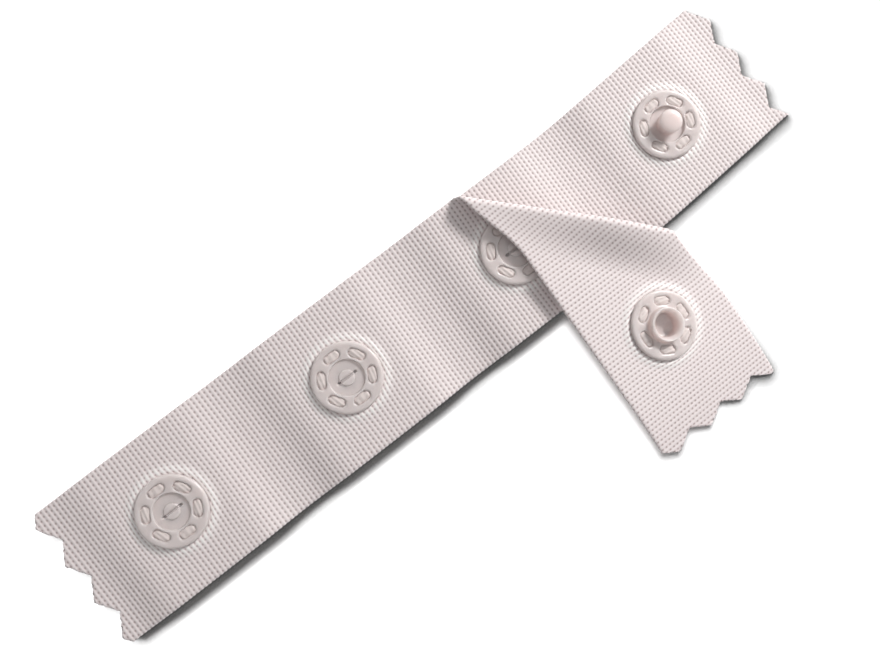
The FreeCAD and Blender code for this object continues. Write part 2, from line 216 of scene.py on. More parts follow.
@dataclass(frozen=True)
class WovenFinish:
    """White synthetic cloth: strong ribs across the tape, with painted shade in the pit between floats."""

    name: str = "woven_tape"
    thread: tuple[int, int, int] = (244, 235, 235)
    # ring: painted highlight that whitens the rib crests near each flange
    ring: tuple[int, int, int] = (255, 253, 251)
    # pit: painted shade in the pits between floats
    pit: tuple[int, int, int] = (150, 129, 128)
    # Painted shade in the grooves between the ribs.
    groove_shade: tuple[int, int, int] = (225, 212, 211)
    film: tuple[int, int, int] = (224, 213, 209)
    film_share: float = 0.85
    roughness: float = 0.62
    sheen: float = 0.12
    specular: float = 0.45
    wander: float = 0.22
    wander_scale: float = 0.31
    pit_sharpness: tuple[float, float] = (34.0, 19.0)
    strand_scale: tuple[float, float] = (0.9, 9.0)
    tone_scale: float = 95.0
    bump_strength: float = 0.5
    bump_depth: float = 0.00007

    def material(self) -> bpy.types.Material:
        """Builds the cloth.

        The weave map counts ribs along the tape and pits along a rib. A pit is a bell
        on every whole rib number, and on every second one they move by half a step.
        The pits and the grooves between the ribs are painted darker as shade.
        The mesh's ring value paints a highlight on the crests near each flange, where
        the cloth is also glossier, and its veil value covers the weave.

        Returns:
            The finished material.
        """
        made = bpy.data.materials.new(self.name)
        made.use_nodes = True
        recipe = Recipe(made.node_tree)
        weave = recipe.node("ShaderNodeUVMap", {"uv_map": "weave"}, {}).outputs[0]
        parts = recipe.node("ShaderNodeSeparateXYZ", {}, {0: weave})
        ribs, floats = Wire(recipe, parts.outputs[0]), Wire(recipe, parts.outputs[1])
        wobble_place = recipe.point(ribs * self.wander_scale, floats * self.wander_scale)
        wobble = recipe.noise(wobble_place, 1.0, 2.0)
        line = (ribs + 0.5).floor()
        from_line = abs(ribs - line)
        staggered = floats + line.math("MODULO", 2.0) * 0.5 + (wobble - 0.5) * self.wander
        from_pit = abs(staggered - (staggered + 0.5).floor())
        along_sharpness, across_sharpness = self.pit_sharpness
        spread = from_line * from_line * along_sharpness + from_pit * from_pit * across_sharpness
        pit = (spread * -1.0).math("EXPONENT")
        crest = (from_line * 2.0).clamped()
        strand_place = recipe.point(ribs * self.strand_scale[0], floats * self.strand_scale[1])
        strands = recipe.noise(strand_place, 1.0, 3.0)
        tone = recipe.noise(recipe.object_place(), self.tone_scale, 3.0)
        ring, veil = recipe.attribute("ring"), recipe.attribute("veil")
        # Share of thread colour: low in the grooves between ribs as painted shade, plus the threads' own
        # strand and tone noise.
        shade = (crest * 0.75 + 0.25 + (strands - 0.5) * 0.5 + (tone - 0.5) * 0.25).clamped()
        cloth = recipe.blend(shade, linear(*self.groove_shade), linear(*self.thread))
        # Painted highlight: the crests near each flange turn white.
        lit = recipe.blend((ring * crest * 1.15).clamped(), cloth, linear(*self.ring))
        # Painted shade in the pits, a quarter weaker where the ring's painted highlight is.
        painted_pit_shade = (pit * (1.0 - ring * 0.25) * (0.7 + wobble * 0.5)).clamped()
        bare = recipe.blend(painted_pit_shade, lit, linear(*self.pit))
        colour = recipe.blend((veil * self.film_share).clamped(), bare, linear(*self.film))
        height = crest * 0.45 + (1.0 - pit) * 0.5 + strands * 0.16
        bump = recipe.node(
            "ShaderNodeBump",
            {},
            {"Strength": self.bump_strength, "Distance": self.bump_depth, "Height": height},
        )
        shader = recipe.node(
            "ShaderNodeBsdfPrincipled",
            {},
            {
                "Base Color": colour,
                "Roughness": self.roughness - ring * 0.24 + (strands - 0.5) * 0.12,
                "Normal": bump.outputs[0],
                "Sheen Weight": self.sheen,
                "Specular IOR Level": self.specular,
            },
        )
        recipe.node("ShaderNodeOutputMaterial", {}, {0: shader.outputs[0]})
        return made


@dataclass(frozen=True)
class MouldedFinish:
    """Milky natural plastic with a soft gloss."""

    name: str = "milky_plastic"
    body: tuple[int, int, int] = (237, 223, 220)
    cloudy: tuple[int, int, int] = (217, 202, 199)
    flow_scale: float = 420.0
    grain_scale: float = 4200.0
    bump_strength: float = 0.25
    bump_depth: float = 0.00004
    roughness: float = 0.3
    index: float = 1.49
    depth: float = 0.85
    scatter: tuple[float, float, float] = (1.0, 0.96, 0.93)
    scatter_reach: float = 0.0017
    coat: float = 0.12
    coat_roughness: float = 0.22

    def material(self) -> bpy.types.Material:
        """Builds the plastic: cloudy flow marks, a faint grain and light inside it.

        Returns:
            The finished material.
        """
        made = bpy.data.materials.new(self.name)
        made.use_nodes = True
        recipe = Recipe(made.node_tree)
        place = recipe.object_place()
        flow = recipe.noise(place, self.flow_scale, 3.0)
        grain = recipe.noise(place, self.grain_scale, 2.0)
        colour = recipe.blend(flow, linear(*self.cloudy), linear(*self.body))
        bump = recipe.node(
            "ShaderNodeBump",
            {},
            {"Strength": self.bump_strength, "Distance": self.bump_depth, "Height": grain + flow * 2.0},
        )
        shader = recipe.node(
            "ShaderNodeBsdfPrincipled",
            {},
            {
                "Base Color": colour,
                "Roughness": self.roughness + (flow - 0.5) * 0.2,
                "Normal": bump.outputs[0],
                "IOR": self.index,
                "Subsurface Weight": self.depth,
                "Subsurface Radius": self.scatter,
                "Subsurface Scale": self.scatter_reach,
                "Coat Weight": self.coat,
                "Coat Roughness": self.coat_roughness,
            },
        )
        recipe.node("ShaderNodeOutputMaterial", {}, {0: shader.outputs[0]})
        return made


@dataclass(frozen=True)
class FloorFinish:
    """White paper floor with a narrow shade on the side of cloth away from the light.

    The photograph's shadow is as wide beside cloth that lies flat as beside raised
    cloth. So the paper darkens where the way toward the light is blocked within a
    short reach, besides the shadow that the lamp casts. A little light that only
    the camera sees keeps the darkest shade grey.
    """

    name: str = "white_floor"
    paper: tuple[int, int, int] = (248, 248, 248)
    shaded: tuple[int, int, int] = (62, 61, 61)
    toward: tuple[float, float, float] = (-0.12, 0.93, 0.35)
    reach: float = 2.1
    rays: int = 8
    gain: float = 4.2
    lift: float = 0.065
    fibre_scale: float = 60.0
    roughness: float = 0.9

    def material(self) -> bpy.types.Material:
        """Builds the floor's matt white and its narrow shade.

        Returns:
            The finished material.
        """
        made = bpy.data.materials.new(self.name)
        made.use_nodes = True
        recipe = Recipe(made.node_tree)
        fibre = recipe.noise(recipe.object_place(), self.fibre_scale, 2.0)
        look = recipe.node(
            "ShaderNodeAmbientOcclusion",
            {"samples": self.rays},
            {"Distance": self.reach * MM, "Normal": recipe.point(*self.toward)},
        )
        hidden = 1.0 - Wire(recipe, look.outputs["AO"])
        path = recipe.node("ShaderNodeLightPath", {}, {})
        black, grey = (0.0, 0.0, 0.0, 1.0), (self.lift, self.lift, self.lift, 1.0)
        shader = recipe.node(
            "ShaderNodeBsdfPrincipled",
            {},
            {
                "Base Color": recipe.blend(
                    (hidden * self.gain).clamped(), linear(*self.paper), linear(*self.shaded)
                ),
                "Emission Color": recipe.blend(Wire(recipe, path.outputs["Is Camera Ray"]), black, grey),
                "Emission Strength": 1.0,
                "Roughness": self.roughness + fibre * 0.05,
                "Specular IOR Level": 0.0,
            },
        )
        recipe.node("ShaderNodeOutputMaterial", {}, {0: shader.outputs[0]})
        return made


# Where things lie


@dataclass(frozen=True)
class Layout:
    """Run of both tapes and place of every snap.

    The sizes are the solids' own, but for two that only the picture shows: the fold
    opens a little less here, and the upper tape dips less along its far edge.
    """

    shift: tuple[float, float]
    snaps: int = 4
    fold_snap: int = 2
    width: float = 18.8
    thickness: float = 0.45
    pitch: float = 25.4
    flange_radius: float = 4.345
    flat_margin: float = 0.75
    hub_radius: float = 2.3
    lower_mid: float = 0.875
    upper_mid: float = 3.325
    lower_sag: float = 0.63
    upper_sag: float = 1.05
    sag_lean: float = 0.5
    free_bend: float = 4.0
    fold_radius: float = 0.6
    fold_rise: float = 0.95
    fold_gap: float = 0.08
    fold_drop: float = 1.3
    fold_apron: float = 0.6
    drop_start: float = 4.8
    blend_stop: float = 0.8
    flap_centre: tuple[float, float, float] = (72.4, -18.4, 3.0)
    flap_fall: tuple[float, float] = (0.15, 0.045)
    flap_droop: float = 0.009
    droop_start: float = 0.4
    flap_skew: float = 0.022
    tooth_pitch: float = 5.35
    tooth_depth: float = 1.65
    end_margin: float = 12.1

    @property
    def flat(self) -> float:
        """Radius round a snap inside which the cloth is flat."""
        return self.flange_radius + self.flat_margin

    @property
    def diagonal(self) -> float:
        """Cosine of 45 degrees."""
        return math.sqrt(0.5)

    def snap(self, number: int) -> float:
        """Place of a snap along the tape, counted from 0."""
        return self.pitch * (number + 0.5)

    @property
    def last(self) -> int:
        """Number of the last snap, counted from 0."""
        return self.snaps - 1

    @property
    def fold_start(self) -> float:
        """Place along the middle of the tape at which the fold starts."""
        return self.snap(self.fold_snap) + (self.flange_radius + self.fold_gap) / self.diagonal

    @property
    def fold_arc(self) -> float:
        """Length of cloth in the half turn of the fold."""
        return math.pi * self.fold_radius

    def flap_axes(self) -> tuple[Array, Array, Array]:
        """Directions of the folded free end.

        Up is the plane's normal, along is the skewed way south less its part on up,
        and across is up cross along.

        Returns:
            Along, across and up, each of length 1.
        """
        up = np.array([self.flap_fall[0], -self.flap_fall[1], 1.0])
        up /= np.linalg.norm(up)
        along = np.array([-self.flap_skew, -1.0, 0.0])
        along -= up * along.dot(up)
        along /= np.linalg.norm(along)
        return along, np.cross(up, along), up

    def zigzag(self, side: Array, tips: float) -> Array:
        """How far a pinked end stands out from its notch line, a triangle wave of side.

        Args:
            side: place across the tape.
            tips: side at which one tooth has its tip.

        Returns:
            From 0 at a notch to the tooth's depth at a tip.
        """
        phase = (side - tips) / self.tooth_pitch
        return self.tooth_depth * (1.0 - 2.0 * np.abs(phase - np.round(phase)))

    def wave(self, along: Array, mid: float, sag: float) -> Array:
        """Height of snapped cloth: flat at every snap, easing down by sag half way between."""
        offset = np.abs((along / self.pitch) % 1.0 - 0.5) * self.pitch
        return mid - sag * smooth((offset - self.flat) / (self.pitch / 2.0 - self.flat))

    def lower(self, along: Array, across: Array) -> Array:
        """Middle of the lower tape: straight, then a slight sideways arc, then straight.

        The arc runs from where the cloth leaves the snap before the fold to where it
        reaches the last one, and the height is the wave of the place along the tape.

        Args:
            along, across: place on the cloth.

        Returns:
            Points in the layout's millimetres.
        """
        start, stop = self.snap(self.fold_snap) + self.flat, self.snap(self.last) - self.flat
        turn = math.radians(self.free_bend)
        radius = (stop - start) / turn
        angle = turn * (np.clip(along, start, stop) - start) / (stop - start)
        before, after = np.minimum(along - start, 0.0), np.maximum(along - stop, 0.0)
        east = start + before + radius * np.sin(angle) + after * np.cos(angle) - across * np.sin(angle)
        north = radius * (1.0 - np.cos(angle)) + after * np.sin(angle) + across * np.cos(angle)
        return np.stack([east, north, self.wave(along, self.lower_mid, self.lower_sag)], axis=-1)

    def flap(self, along: Array, across: Array) -> Array:
        """Middle of the folded free end: a tilted plane that droops past its socket.

        The droop is the square of the distance past the flange, times flap_droop.

        Args:
            along, across: place on the cloth, counted from the last socket.

        Returns:
            Points in the layout's millimetres.
        """
        ahead, beside, up = self.flap_axes()
        past = np.maximum(0.0, along - self.flange_radius - self.droop_start)
        flat = np.array(self.flap_centre) + along[..., None] * ahead + across[..., None] * beside
        return flat - (self.flap_droop * past**2)[..., None] * up

    def upper(self, along: Array, across: Array) -> Array:
        """Middle of the upper tape: the snapped strip, a half turn on a diagonal, the free end.

        Past counts square to the fold line and beside along it. Up to the line the
        height is the wave, less a drop that grows as the square of the cloth that
        hangs past the lower tape's edge. Past it the cloth goes round a half circle,
        which opens by fold_rise, and a cubic ease takes it over to the flap's plane.

        Args:
            along, across: place on the cloth.

        Returns:
            Points in the layout's millimetres.
        """
        past = (along - self.fold_start + across) * self.diagonal
        beside = (along - self.fold_start - across) * self.diagonal
        hanging = (beside - self.drop_start) / (self.width * self.diagonal - self.drop_start)
        drop = self.fold_drop * np.maximum(hanging, 0.0) ** 2
        sag = self.upper_sag * (1.0 - self.sag_lean * (0.5 + across / self.width))
        waved = self.wave(along, self.upper_mid, sag)
        height = np.where(along < self.snap(self.fold_snap), waved, self.upper_mid) - drop
        strip = np.stack([along, across, height], axis=-1)
        bend = np.clip(past, 0.0, self.fold_arc) / self.fold_radius
        reach = self.fold_radius * np.sin(bend) - np.maximum(0.0, past - self.fold_arc)
        lift = self.fold_radius * (1.0 - np.cos(bend)) + self.fold_rise * smooth(past / self.fold_arc)
        east = self.fold_start + (beside + reach) * self.diagonal
        folded = np.stack([east, (reach - beside) * self.diagonal, height + lift], axis=-1)
        free = self.flap(along - self.snap(self.last), -across)
        leave = self.fold_apron * self.fold_arc
        length_to_last = (self.snap(self.last) - self.fold_start) * self.diagonal
        reached = length_to_last - self.flange_radius - self.blend_stop
        run = np.clip((past - leave) / (reached - leave), 0.0, 1.0)
        share = (run**2 * (3.0 - 2.0 * run))[..., None]
        turned = folded * (1.0 - share) + free * share
        return np.where((past <= 0.0)[..., None], strip, turned)

    def metres(self, points: Array) -> Array:
        """Moves layout points into the row frame, in metres."""
        return (points + np.array([self.shift[0], self.shift[1], 0.0])) * MM

    def snap_axes(self, side: Body, number: int) -> tuple[Array, Array, Array]:
        """Place and directions of one snap.

        Args:
            side: which tape it is moulded to.
            number: which snap, counted from 0.

        Returns:
            Its centre in millimetres, its direction along the tape and its front direction.
        """
        here = np.array(self.snap(number))
        if side is Body.STUD_SIDE:
            turn = math.radians(self.free_bend) if number == self.last else 0.0
            along = np.array([math.cos(turn), math.sin(turn), 0.0])
            return self.lower(here, np.array(0.0)), along, np.array([0.0, 0.0, 1.0])
        if number == self.last:
            along, _, up = self.flap_axes()
            return np.array(self.flap_centre), along, up
        return self.upper(here, np.array(0.0)), np.array([1.0, 0.0, 0.0]), np.array([0.0, 0.0, -1.0])


def put_mesh(
    name: str, points: Array, faces: Array, corners: dict[str, Array], weld: float
) -> bpy.types.Object:
    """Makes a smooth-shaded object at the origin from arrays.

    Args:
        name: the piece's name.
        points: vertices in metres.
        faces: four vertex numbers a face.
        corners: values a vertex, two for a map and one for a plain attribute.
        weld: distance in metres under which vertices become one.

    Returns:
        The linked object.
    """
    mesh = bpy.data.meshes.new(name)
    mesh.from_pydata(points, [], faces.tolist())
    loops = np.empty(len(mesh.loops), dtype=np.int64)
    mesh.loops.foreach_get("vertex_index", loops)
    for label, values in corners.items():
        if values.ndim == 2:
            layer = mesh.uv_layers.new(name=label)
            layer.uv.foreach_set("vector", values[loops].astype(np.float32).ravel())
        else:
            layer = mesh.attributes.new(label, "FLOAT", "POINT")
            layer.data.foreach_set("value", values.astype(np.float32))
    kit = bmesh.new()
    kit.from_mesh(mesh)
    bmesh.ops.remove_doubles(kit, verts=kit.verts, dist=weld)
    kit.to_mesh(mesh)
    kit.free()
    mesh.shade_smooth()
    made = bpy.data.objects.new(name, mesh)
    bpy.context.scene.collection.objects.link(made)
    return made


def grid_faces(keep: Array, base: int, across: int) -> Array:
    """Quads of a grid's kept cells, turned with the normal to along cross across.

    Args:
        keep: which cells of the grid stay.
        base: number of the grid's first vertex.
        across: vertices in one row.

    Returns:
        Four vertex numbers a face.
    """
    i, j = np.nonzero(keep)
    first = base + i * across + j
    return np.stack([first, first + across, first + across + 1, first + 1], axis=-1)


def only_used(faces: Array, count: int) -> tuple[Array, Array]:
    """Leaves out the vertices that no face has.

    Args:
        faces: vertex numbers a face.
        count: how many vertices there are.

    Returns:
        The numbers of the vertices that stay, and the faces with these counted from 0.
    """
    used = np.unique(faces)
    numbers = np.zeros(count, dtype=np.int64)
    numbers[used] = np.arange(len(used))
    return used, numbers[faces]


def rim_edges(keep: Array, across: int) -> Array:
    """Edges that only one kept cell has, in that cell's own direction.

    Args:
        keep: which cells of the grid stay.
        across: vertices in one row.

    Returns:
        Pairs of vertex numbers.
    """
    padded = np.pad(keep, 1)
    middle = padded[1:-1, 1:-1]
    edges = []
    for neighbour, start, stop in (
        (padded[1:-1, :-2], (0, 0), (1, 0)),
        (padded[2:, 1:-1], (1, 0), (1, 1)),
        (padded[1:-1, 2:], (1, 1), (0, 1)),
        (padded[:-2, 1:-1], (0, 1), (0, 0)),
    ):
        i, j = np.nonzero(middle & ~neighbour)
        from_here = (i + start[0]) * across + j + start[1]
        to_here = (i + stop[0]) * across + j + stop[1]
        edges.append(np.stack([from_here, to_here], axis=-1))
    return np.concatenate(edges)


def touching(cells: Array) -> Array:
    """Marks the vertices that touch any marked cell of a grid."""
    padded = np.pad(cells, 1)
    return padded[1:, 1:] | padded[:-1, 1:] | padded[1:, :-1] | padded[:-1, :-1]


def touching_round(cells: Array) -> Array:
    """Marks the vertices that touch any marked cell of a grid whose rows are closed rings."""
    beside = cells | np.roll(cells, 1, axis=1)
    return np.pad(beside, ((0, 1), (0, 0))) | np.pad(beside, ((1, 0), (0, 0)))


@dataclass(frozen=True)
class SlotRing:
    """Six round-ended slots in a ring, each within half its width of a short line."""

    circle: float = 3.0
    length: float = 2.1
    width: float = 1.05
    count: int = 6

    def reach(self, east: Array, north: Array) -> tuple[Array, Array, Array]:
        """Distance outside the nearest slot, and the nearest point of its outline.

        A place is taken to its own sector, where the slot is all that lies within half
        its width of its middle line. The outline's point is on the same ray from it.

        Args:
            east, north: place on the moulding.

        Returns:
            The distance, below 0 inside a slot, and the outline's point, east and north.
        """
        sector = 360.0 / self.count
        turn = np.radians(np.floor(np.degrees(np.arctan2(north, east)) / sector) * sector + sector / 2.0)
        radial = east * np.cos(turn) + north * np.sin(turn) - self.circle
        sideways = -east * np.sin(turn) + north * np.cos(turn)
        half = (self.length - self.width) / 2.0
        core = np.clip(sideways, -half, half)
        gap = np.maximum(np.hypot(radial, sideways - core), 1e-9)
        share = self.width / 2.0 / gap
        new_radial = self.circle + radial * share
        new_sideways = core + (sideways - core) * share
        new_east = new_radial * np.cos(turn) - new_sideways * np.sin(turn)
        new_north = new_radial * np.sin(turn) + new_sideways * np.cos(turn)
        return gap - self.width / 2.0, new_east, new_north


@dataclass
class WovenTape:
    """One length of ribbed tape with pinked ends and a hole for every hub."""

    name: str
    layout: Layout
    surface: Callable[[Array, Array], Array]
    end_tips: float
    far_mirrored: bool
    body: Body
    held: str
    rests_on: list[str]
    near_tips: float = 2.9
    near_spare: float = 3.0
    far_spare: float = 2.0
    ribs_a_pitch: int = 45
    pits_across: int = 32
    rib_steps: int = 3
    selvedge_step: float = 0.1
    relief: float = 0.1
    crest_share: float = 0.32
    pit_share: float = 0.68
    pit_sharpness: tuple[float, float] = (18.0, 11.0)
    selvedge: float = 0.3
    selvedge_round: float = 0.9
    loop_size: float = 0.09
    loop_rest: float = 0.7
    hole_inner: float = 1.2
    crowd: float = 4.0
    fray: float = 0.05
    puff: float = 0.15
    puff_gap: float = 0.4
    puff_width: float = 0.45
    # Place and width of the ring of painted highlight round each flange.
    ring_gap: float = 0.45
    ring_width: float = 0.55
    slot_puff: float = 0.6
    slot_dome: float = 0.08
    slot_ease: float = 0.15
    map_start: float = 20.0
    seed: int = 7
    slots: SlotRing = SlotRing()
    finish: WovenFinish = field(default_factory=WovenFinish)

    @property
    def rib(self) -> float:
        """Distance from rib to rib."""
        return self.layout.pitch / self.ribs_a_pitch

    @property
    def pit(self) -> float:
        """Distance from pit to pit along a rib."""
        return self.layout.width / self.pits_across

    def grid(self) -> tuple[Array, Array]:
        """Lays an even grid over the cloth, past both cut ends.

        Returns:
            Along and across at each vertex, with three steps a rib along the tape, two
            a pit across it and one more beside each selvedge.
        """
        step = self.rib / self.rib_steps
        stop = self.layout.pitch * self.layout.snaps + self.far_spare
        first, last = round(-self.near_spare / step), round(stop / step)
        along = np.arange(first, last + 1) * step
        half = self.layout.width / 2.0
        across = np.linspace(-half, half, self.pits_across * 2 + 1)
        across = np.sort(np.append(across, [self.selvedge_step - half, half - self.selvedge_step]))
        return np.meshgrid(along, across, indexing="ij")

    def near_edge(self, across: Array) -> Array:
        """Where the near end is cut, along the tape."""
        line = self.layout.pitch / 2.0 - self.layout.end_margin
        return line - self.layout.zigzag(-across, self.near_tips)

    def far_edge(self, across: Array) -> Array:
        """Where the other end is cut, along the tape."""
        line = self.layout.snap(self.layout.last) + self.layout.end_margin
        return line + self.layout.zigzag(-across if self.far_mirrored else across, self.end_tips)

    def relief_at(self, along: Array, across: Array, under: bool) -> Array:
        """Thickness that the threads add on one side.

        The crest is the size of the sine of the rib number. A pit is a Gauss bell on a
        whole rib number, half a step over on each second rib and on the other side.

        Args:
            along, across: place on the cloth.
            under: whether it is the side that lies below.

        Returns:
            The added thickness, up to the relief.
        """
        ribs = along / self.rib
        line = np.round(ribs)
        floats = across / self.pit + 0.5 * ((line + float(under)) % 2.0)
        from_pit = floats - np.round(floats)
        along_sharpness, across_sharpness = self.pit_sharpness
        pit = np.exp(-((ribs - line) ** 2) * along_sharpness - from_pit**2 * across_sharpness)
        crest = np.abs(np.sin(np.pi * ribs))
        return self.relief * (self.crest_share * crest + self.pit_share * (1.0 - pit))

    def bell(self, nearest: Array, gap: float, width: float) -> Array:
        """Gauss bell of the distance from a flange's edge, with its top at the gap."""
        return np.exp(-(((nearest - self.layout.flange_radius - gap) / width) ** 2))

    def puffed(self, along: Array, across: Array, nearest: Array) -> tuple[Array, Array]:
        """Extra thickness where flanges squeeze the cloth out, and how close a slot is.

        Args:
            along, across: place on the cloth after the threads are pushed aside.
            nearest: distance from the nearest snap's centre.

        Returns:
            A bell round the flange's edge plus a low dome in every slot, and 1 in a
            slot easing to 0 outside it.
        """
        snap = np.clip(np.round(along / self.layout.pitch - 0.5), 0, self.layout.last)
        east = along - (snap + 0.5) * self.layout.pitch
        outside, _, _ = self.slots.reach(east, across)
        inside = np.clip(-outside / (self.slots.width / 2.0), 0.0, 1.0)
        in_slot = smooth(1.0 - outside / self.slot_ease)
        cushion = self.slot_puff * in_slot * ((1.0 - self.slot_dome) + self.slot_dome * inside)
        return cushion + self.puff * self.bell(nearest, self.puff_gap, self.puff_width), in_slot

    def crowded(self, along: Array, across: Array) -> tuple[Array, Array, Array]:
        """Pushes the threads aside at each hub, by a bell of the distance from it.

        The bell is as high as it takes to bring the hole's edge out to the hub.

        Args:
            along, across: place on the cloth as it is woven.

        Returns:
            The moved coordinates and the nearest distance from any snap's centre.
        """
        bell_at_hole = math.exp(-((self.hole_inner / self.crowd) ** 2))
        most = (self.layout.hub_radius - self.hole_inner) / bell_at_hole
        nearest = np.full(along.shape, 1e9)
        moved_along, moved_across = along.copy(), across.copy()
        for number in range(self.layout.snaps):
            east = along - self.layout.snap(number)
            distance = np.hypot(east, across)
            push = most * np.exp(-((distance / self.crowd) ** 2)) / np.maximum(distance, 1e-6)
            moved_along += east * push
            moved_across += across * push
            nearest = np.minimum(nearest, distance * (1.0 + push))
        return moved_along, moved_across, nearest

    def cut_away(self, along: Array, across: Array) -> tuple[Array, Array]:
        """Marks the cells of the grid that are cut away, each by its middle.

        Args:
            along, across: the grid's vertices.

        Returns:
            The cells past the pinked ends, and those in the holes.
        """
        middle_along = (along[1:, 1:] + along[:-1, :-1]) / 2.0
        middle_across = (across[1:, 1:] + across[:-1, :-1]) / 2.0
        near, far = self.near_edge(middle_across), self.far_edge(middle_across)
        outside = (middle_along < near) | (middle_along > far)
        pierced = np.zeros(outside.shape, dtype=bool)
        for number in range(self.layout.snaps):
            east = middle_along - self.layout.snap(number)
            pierced |= np.hypot(east, middle_across) < self.hole_inner
        return outside, pierced

    def trimmed(self, along: Array, across: Array, outside: Array, pierced: Array) -> tuple[Array, Array]:
        """Moves vertices beside a cut onto it: the ends with loose threads, the holes round.

        Args:
            along, across: the grid's vertices.
            outside, pierced: the cells that are cut away.

        Returns:
            The new coordinates.
        """
        kept = touching(~(outside | pierced))
        cut = kept & touching(outside)
        near = cut & (along < self.layout.pitch)
        far = cut & ~near
        loose = np.random.default_rng(self.seed).normal(0.0, self.fray, along.shape)
        new_along, new_across = along.copy(), across.copy()
        new_along[near] = (self.near_edge(across) + loose)[near]
        new_along[far] = (self.far_edge(across) + loose)[far]
        lip = kept & touching(pierced)
        for number in range(self.layout.snaps):
            east = along - self.layout.snap(number)
            distance = np.hypot(east, across)
            here = lip & (distance < 2.0 * self.hole_inner)
            share = self.hole_inner / np.maximum(distance, 1e-6)
            new_along[here] = (self.layout.snap(number) + east * share)[here]
            new_across[here] = (across * share)[here]
        return new_along, new_across

    def skins(
        self, across: Array, cloth_along: Array, cloth_across: Array
    ) -> tuple[list[Array], Array, Array]:
        """Top and bottom of the cloth, with the ring and veil values of its finish.

        Each skin is the middle surface plus or less its normal times half the bare
        thickness, the threads' relief and the puff. At a selvedge the thickness
        rounds off like an ellipse, and the edge goes in and out by a sine squared of
        the rib number.

        Args:
            across: place across the cloth before it is trimmed.
            cloth_along, cloth_across: place on the trimmed cloth.

        Returns:
            The two skins, the ring and the veil.
        """
        moved_along, moved_across, nearest = self.crowded(cloth_along, cloth_across)
        edge = np.clip((self.layout.width / 2.0 - np.abs(across)) / self.selvedge, 0.0, 1.0)
        loops = np.sin(np.pi * cloth_along / self.rib) ** 2
        outwards = np.sign(across) * (1.0 - edge)
        moved_across = moved_across + outwards * (loops - self.loop_rest) * self.loop_size
        middle = self.surface(moved_along, moved_across)
        ahead, beside = np.gradient(middle, axis=0), np.gradient(middle, axis=1)
        normal = np.cross(ahead, beside)
        normal /= np.maximum(np.linalg.norm(normal, axis=-1, keepdims=True), 1e-12)
        bare = self.layout.thickness / 2.0 - self.relief
        rounded = np.sqrt(1.0 - (1.0 - edge) ** 2 * self.selvedge_round)
        puff, veil = self.puffed(moved_along, moved_across, nearest)
        over = (bare + self.relief_at(cloth_along, cloth_across, False)) * rounded + puff
        under = (bare + self.relief_at(cloth_along, cloth_across, True)) * rounded + puff
        # The ring is a bell round each flange's edge that marks where a highlight is painted on the crests.
        ring = self.bell(nearest, self.ring_gap, self.ring_width)
        return [middle + normal * over[..., None], middle - normal * under[..., None]], ring, veil

    def build(self) -> bpy.types.Object:
        """Makes the cloth: two relief skins, cut ends, holes and a wall round every edge.

        Returns:
            The dressed piece.
        """
        along, across = self.grid()
        rows, columns = along.shape
        count = rows * columns
        outside, pierced = self.cut_away(along, across)
        keep = ~(outside | pierced)
        cloth_along, cloth_across = self.trimmed(along, across, outside, pierced)
        skins, ring, veil = self.skins(across, cloth_along, cloth_across)
        points = self.layout.metres(np.concatenate([skin.reshape(-1, 3) for skin in skins]))
        top = grid_faces(keep, 0, columns)
        bottom = grid_faces(keep, count, columns)[:, ::-1]
        rim = rim_edges(keep, columns)
        walls = np.stack([rim[:, 1], rim[:, 0], rim[:, 0] + count, rim[:, 1] + count], axis=-1)
        used, faces = only_used(np.concatenate([top, bottom, walls]), 2 * count)
        weave = np.stack([cloth_along / self.rib, across / self.pit], axis=-1).reshape(-1, 2) + self.map_start
        corners = {
            "weave": np.concatenate([weave, weave + np.array([1.0, 0.5])])[used],
            "ring": np.concatenate([ring.ravel(), ring.ravel()])[used],
            "veil": np.concatenate([veil.ravel(), veil.ravel()])[used],
        }
        made = put_mesh(self.name, points[used], faces, corners, weld=2e-6)
        self.dress(made)
        return made

    def dress(self, made: bpy.types.Object) -> None:
        """Gives the cloth its finish, hides its solid and attaches it to its body.

        Args:
            made: the piece.
        """
        made.data.materials.append(bpy.data.materials.get(self.finish.name) or self.finish.material())
        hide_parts(self.name.replace("_weave", ""))
        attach(made, self.body.value)
        snapped = self.layout.pitch * self.layout.last
        length = snapped + 2.0 * self.layout.end_margin + 2.0 * self.layout.tooth_depth
        width = self.layout.width
        area = width * (length - self.layout.tooth_depth) * MM * MM
        width * MM
        length * MM


